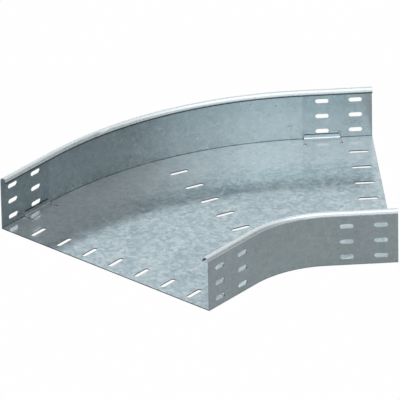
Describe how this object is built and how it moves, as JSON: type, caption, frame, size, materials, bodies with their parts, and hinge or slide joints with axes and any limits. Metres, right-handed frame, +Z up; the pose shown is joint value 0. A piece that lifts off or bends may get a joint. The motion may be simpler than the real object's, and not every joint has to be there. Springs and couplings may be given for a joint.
{
  "type": "cable tray bend",
  "caption": "Flat horizontal bend for a slotted cable tray: curved floor between two upright walls with rolled top edges, for bolting between straight tray lengths.",
  "frame": {"origin": "middle of the bounding box, on the underside of the floor", "axes": "+X out of the right-hand end, along that end's lead; +Y towards the outer wall, square to that lead; +Z up from the floor to the rolled edges"},
  "size_m": [0.5672, 0.5178, 0.085],
  "materials": {
    "galvanised_sheet": "bright galvanised zinc with a fine grey-blue spangle"
  },
  "bodies": {
    "root": {"floor_plate": "galvanised_sheet", "outer_wall": "galvanised_sheet", "inner_wall": "galvanised_sheet"}
  },
  "joints": []
}
